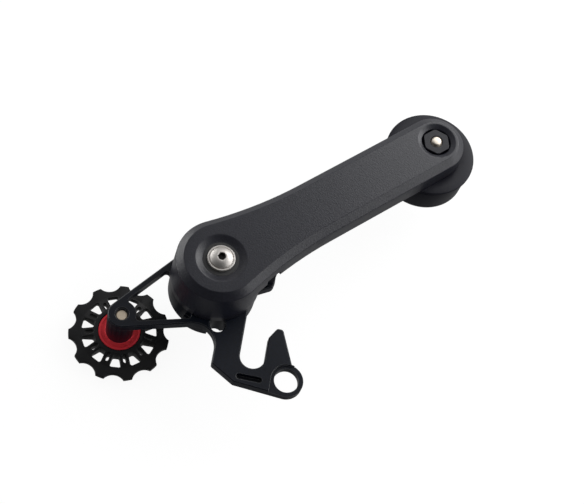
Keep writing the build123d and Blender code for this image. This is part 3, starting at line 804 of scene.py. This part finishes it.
def buildBallTree():
    tree, given, result = newGrowth("ballsInRace", [
        ("Balls", "NodeSocketInt"), ("Pitch Radius", "NodeSocketFloat"), ("Ball Radius", "NodeSocketFloat"),
        ("Centre", "NodeSocketVector"), ("Finish", "NodeSocketMaterial")])
    spots = addNode(tree, "GeometryNodeMeshCircle", Vertices=given.outputs["Balls"],
                    Radius=given.outputs["Pitch Radius"])
    ball = addNode(tree, "GeometryNodeMeshUVSphere", Segments=28, Rings=16,
                   Radius=given.outputs["Ball Radius"])
    copies = addNode(tree, "GeometryNodeInstanceOnPoints", Points=spots.outputs[0], Instance=ball.outputs[0])
    return closeGrowth(tree, given, result, copies.outputs[0], "Centre")


ballRaces = {
    "jockey_bearing_balls": dict(balls=7, pitch=4.5, ball=1.0, joint="jockey_spin"),
    "roller_bearing_balls": dict(balls=7, pitch=5.25, ball=1.375, joint="roller_spin"),
}


def buildBalls():
    tree = buildBallTree()
    for node, race in ballRaces.items():
        low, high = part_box(node)
        centre = axisOf[race["joint"]].copy()
        centre.z = (low.z + high.z) / 2
        values = {"Balls": race["balls"], "Pitch Radius": race["pitch"] * mm,
                  "Ball Radius": race["ball"] * mm, "Centre": centre, "Finish": finishFor(node)}
        finishPiece(node, growMesh(node, tree, bpy.data.meshes.new(node), values), smoothAngle=60)


buildBalls()
print("balls grown")


def buildSpringTree():
    # a coil with a straight leg at each end
    tree, given, result = newGrowth("coilSpring", [
        ("Turns", "NodeSocketFloat"), ("Coil Radius", "NodeSocketFloat"), ("Height", "NodeSocketFloat"),
        ("Wire Radius", "NodeSocketFloat"), ("Leg", "NodeSocketFloat"), ("Base", "NodeSocketVector"),
        ("Finish", "NodeSocketMaterial")])
    turns, radius, height, leg = [given.outputs[label] for label in ("Turns", "Coil Radius", "Height", "Leg")]
    coil = addNode(tree, "GeometryNodeCurveSpiral", Resolution=40, Rotations=turns, Start_Radius=radius,
                   End_Radius=radius, Height=height)
    below = addMath(tree, "MULTIPLY", leg, -1.0)
    above = addMath(tree, "ADD", height, leg)
    angle = addMath(tree, "MULTIPLY", turns, 2 * pi)
    endX = addMath(tree, "MULTIPLY", addMath(tree, "COSINE", angle), radius)
    endY = addMath(tree, "MULTIPLY", addMath(tree, "SINE", angle), radius)
    curves = [coil]
    for x, y, levels in ((radius, 0.0, (below, 0.0)), (endX, endY, (height, above))):
        low, high = [addNode(tree, "ShaderNodeCombineXYZ", X=x, Y=y, Z=level).outputs[0] for level in levels]
        curves.append(addNode(tree, "GeometryNodeCurvePrimitiveLine", Start=low, End=high))
    wire = addNode(tree, "GeometryNodeCurvePrimitiveCircle", Resolution=16,
                   Radius=given.outputs["Wire Radius"])
    joined = tree.nodes.new("GeometryNodeJoinGeometry")
    for curve in curves:
        tube = addNode(tree, "GeometryNodeCurveToMesh", Curve=curve.outputs[0], Profile_Curve=wire.outputs[0],
                       Fill_Caps=True)
        tree.links.new(tube.outputs[0], joined.inputs[0])
    return closeGrowth(tree, given, result, joined.outputs[0], "Base")


spring = dict(wire=2.4, radius=11.8, leg=3.0, angle=43.1, wholeTurns=5)


def buildSpring():
    low, high = levelsOf("torsion_spring")
    base = axisOf["arm_pivot"].copy()
    base.z = (low + spring["leg"]) * mm
    values = {"Turns": spring["wholeTurns"] + (180 + spring["angle"]) / 360,
              "Coil Radius": spring["radius"] * mm, "Height": (high - low - 2 * spring["leg"]) * mm,
              "Wire Radius": spring["wire"] / 2 * mm, "Leg": spring["leg"] * mm, "Base": base,
              "Finish": finishFor("torsion_spring")}
    coil = growMesh("springGrowth", buildSpringTree(), bpy.data.meshes.new("spring"), values)
    top = base + Vector((0.0, 0.0, values["Height"]))
    # its transform is baked in place, and it rides with no body
    finishPiece("torsion_spring", coil, smoothAngle=50, winds=(base, top))


buildSpring()
print("spring grown")


# The moulded arm, with its outer edges rounded

armForm = dict(edge=0.18, segments=2, above=15.2, flatAngle=0.8, sharpAngle=25)


def evenNormals(mesh):
    # wide faces keep their own direction, and only the rounded edges turn
    mesh.shade_smooth()
    holder = addObject("evenNormals", mesh)
    holder.modifiers.new("even", "WEIGHTED_NORMAL").weight = 100
    return evaluatedMesh(holder)


def buildArm():
    form = armForm
    work = copyNode("arm")
    bmesh.ops.dissolve_limit(work, angle_limit=radians(form["flatAngle"]), verts=work.verts, edges=work.edges)
    sharp = [edge for edge in work.edges
             if len(edge.link_faces) == 2 and edge.calc_face_angle_signed(0.0) > radians(form["sharpAngle"])
             and min(vertex.co.z for vertex in edge.verts) > form["above"] * mm]
    bmesh.ops.bevel(work, geom=sharp, offset=form["edge"] * mm, offset_type="OFFSET",
                    segments=form["segments"], profile=0.5, affect="EDGES", clamp_overlap=False)
    bmesh.ops.remove_doubles(work, verts=work.verts, dist=weldReach)
    bmesh.ops.triangulate(work, faces=[face for face in work.faces if len(face.verts) > 4])
    finishPiece("arm", evenNormals(shellFrom(work, "armShell")))


buildArm()
for node in nodes:
    if node not in finished:
        finishPiece(node, shellFrom(copyNode(node), f"{node}_shell"))
print("nodes dressed:", len(finished))


# Floor, light and camera

stage = dict(drop=0.0005, size=6.0, colour=0.15, roughness=0.9, glow=0.9,
             dome=0.5, ambient=0.04, sky=0.46, skySlope=0.65, skyMiddle=0.4)


def addDirectRays(tree, light):
    # 1 where the camera looks straight at something, or through glass
    return addMath(tree, "MAXIMUM", light.outputs["Is Camera Ray"], light.outputs["Is Transmission Ray"])


def buildFloor():
    mesh = bpy.data.meshes.new("floor")
    half = stage["size"] / 2
    level = cadBox[0].z - stage["drop"]
    corners = [(-half, -half, level), (half, -half, level), (half, half, level), (-half, half, level)]
    mesh.from_pydata(corners, [], [(0, 1, 2, 3)])
    floor = addObject("floor", mesh)
    material = bpy.data.materials.new("paperFloor")
    material.use_nodes = True
    tree = material.node_tree
    paper = tree.nodes["Principled BSDF"]
    paper.inputs["Base Color"].default_value = (stage["colour"],) * 3 + (1.0,)
    paper.inputs["Roughness"].default_value = stage["roughness"]
    paper.inputs["Specular IOR Level"].default_value = 0.0
    direct = addDirectRays(tree, tree.nodes.new("ShaderNodeLightPath"))
    glow = addNode(tree, "ShaderNodeEmission", Strength=addMath(tree, "MULTIPLY", direct, stage["glow"]))
    sheet = tree.nodes.new("ShaderNodeAddShader")
    tree.links.new(paper.outputs[0], sheet.inputs[0])
    tree.links.new(glow.outputs[0], sheet.inputs[1])
    under = tree.nodes.new("ShaderNodeNewGeometry")  # clear from below, so that the underside can be seen
    oneSided = tree.nodes.new("ShaderNodeMixShader")
    tree.links.new(under.outputs["Backfacing"], oneSided.inputs["Fac"])
    tree.links.new(sheet.outputs[0], oneSided.inputs[1])
    tree.links.new(tree.nodes.new("ShaderNodeBsdfTransparent").outputs[0], oneSided.inputs[2])
    tree.links.new(oneSided.outputs[0], tree.nodes["Material Output"].inputs["Surface"])
    mesh.materials.append(material)
    # the floor takes shadows but blocks no light, so that the underside is lit too
    floor.visible_diffuse = floor.visible_glossy = floor.visible_shadow = False


def buildWorld():
    # an even dome lights the part; what gloss mirrors is darker on the near side
    world = bpy.data.worlds.new("studio")
    world.use_nodes = True
    tree = world.node_tree
    back = tree.nodes["Background"]
    back.inputs["Color"].default_value = (1.0, 1.0, 1.0, 1.0)
    coords = tree.nodes.new("ShaderNodeTexCoord")
    way = addNode(tree, "ShaderNodeSeparateXYZ", Vector=coords.outputs["Generated"])
    rearward = addMath(tree, "MULTIPLY_ADD", way.outputs["Y"], stage["skySlope"], stage["skyMiddle"])
    rearward = addMath(tree, "MAXIMUM", rearward, 0.0)
    mirrored = addMath(tree, "MULTIPLY_ADD", rearward, stage["sky"], stage["ambient"] - stage["dome"])
    light = tree.nodes.new("ShaderNodeLightPath")
    seen = addMath(tree, "MULTIPLY_ADD", light.outputs["Is Glossy Ray"], mirrored, stage["dome"])
    tree.links.new(addMath(tree, "MAXIMUM", seen, addDirectRays(tree, light)), back.inputs["Strength"])
    bpy.context.scene.world = world


lamps = {
    "back": dict(place=(0.19, 0.33, 0.24), aim=(0.03, 0.1, 0.0), wide=0.35, high=0.3, power=0.726),
    "right": dict(place=(0.88, 0.3, 0.34), aim=(0.0, 0.06, 0.0), wide=1.4, high=0.6, power=4.882),
    "left": dict(place=(-0.85, 0.42, 0.085), aim=(0.0, 0.06, 0.0), wide=1.15, high=0.2, power=3.324),
}


def buildLamps():
    for name, lamp in lamps.items():
        data = bpy.data.lights.new(name, "AREA")
        data.shape = "RECTANGLE"
        data.size = lamp["wide"]
        data.size_y = lamp["high"]
        data.energy = lamp["power"]
        holder = addObject(name, data)
        holder.location = lamp["place"]
        aim = Vector(lamp["aim"]) - Vector(lamp["place"])
        holder.rotation_euler = aim.to_track_quat("-Z", "Y").to_euler()


shot = dict(place=(-0.05749, -0.19879, 0.51036), turn=(25.558, -9.940, 8.596), lens=82.6, sensor=36.0)


def buildCamera():
    data = bpy.data.cameras.new("shot")
    data.sensor_fit = "HORIZONTAL"
    data.sensor_width = shot["sensor"]
    data.lens = shot["lens"]
    holder = addObject("shot", data)
    holder.location = shot["place"]
    holder.rotation_euler = [radians(angle) for angle in shot["turn"]]
    bpy.context.scene.camera = holder


buildFloor()
buildWorld()
buildLamps()
buildCamera()
bpy.context.scene.view_settings.view_transform = "Standard"
print("stage set")
